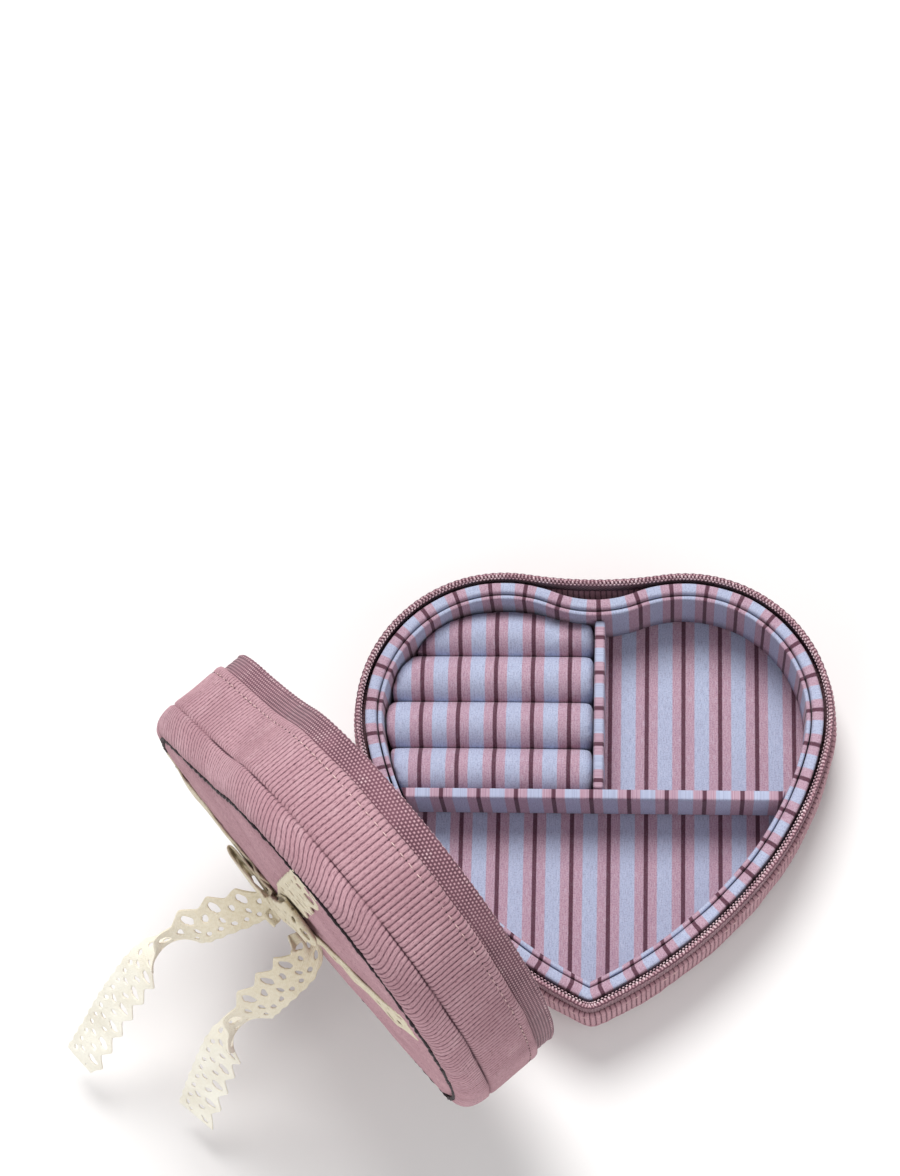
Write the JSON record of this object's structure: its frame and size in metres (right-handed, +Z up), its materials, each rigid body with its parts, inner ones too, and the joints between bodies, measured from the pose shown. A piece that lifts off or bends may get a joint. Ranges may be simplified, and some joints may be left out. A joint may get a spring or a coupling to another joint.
{
  "type": "heart-shaped fabric jewelry box",
  "caption": "Heart-shaped zip-round jewelry box in ribbed fabric, with a striped tray, dividers, ring rolls and a padded lid with a lace bow, shown open.",
  "frame": {"origin": "on the table, under the middle of the heart, in the base's flat underside", "axes": "+Z up; -Y towards the heart's tip; +X to the right as the tip faces the viewer"},
  "size_m": [0.2039, 0.1521, 0.1532],
  "materials": {
    "corduroy": "matte ribbed cotton corduroy, dusty rose",
    "zip_tape": "matte woven tape, deep rose",
    "zip_coil": "satin nylon coil, deep rose",
    "striped_cotton": "matte woven cotton with blue, pink and burgundy stripes",
    "lace": "matte ivory cotton lace",
    "metal": "brushed antique metal"
  },
  "bodies": {
    "base": {"base_shell": "corduroy", "base_zip_tape": "zip_tape", "base_zip_coil": "zip_coil", "tray_floor": "striped_cotton", "tray_rim": "striped_cotton", "tray_liner": "striped_cotton", "divider_long": "striped_cotton", "divider_short": "striped_cotton", "ring_roll_1": "striped_cotton", "ring_roll_2": "striped_cotton", "ring_roll_3": "striped_cotton", "ring_roll_4": "striped_cotton", "hinge_strip_base": "corduroy", "zip_slider": "metal", "zip_pull": "metal"},
    "lid": {"lid_shell": "corduroy", "lid_zip_tape": "zip_tape", "lid_zip_coil": "zip_coil", "lid_lining": "striped_cotton", "hinge_strip_lid": "corduroy", "lace_knot": "lace", "lace_loop_right": "lace", "lace_loop_left": "lace", "lace_strap_upper_right": "lace", "lace_strap_lower_right": "lace", "lace_strap_upper_left": "lace", "lace_strap_lower_left": "lace", "lace_tail_one": "lace", "lace_tail_two": "lace"}
  },
  "joints": [
    {"name": "lid_hinge", "type": "hinge", "parent": "base", "child": "lid", "pos_m": [-0.0443, -0.03269, 0.026], "axis": [0.6626, -0.749, 0], "range_deg": [-89.2, 74]}
  ]
}
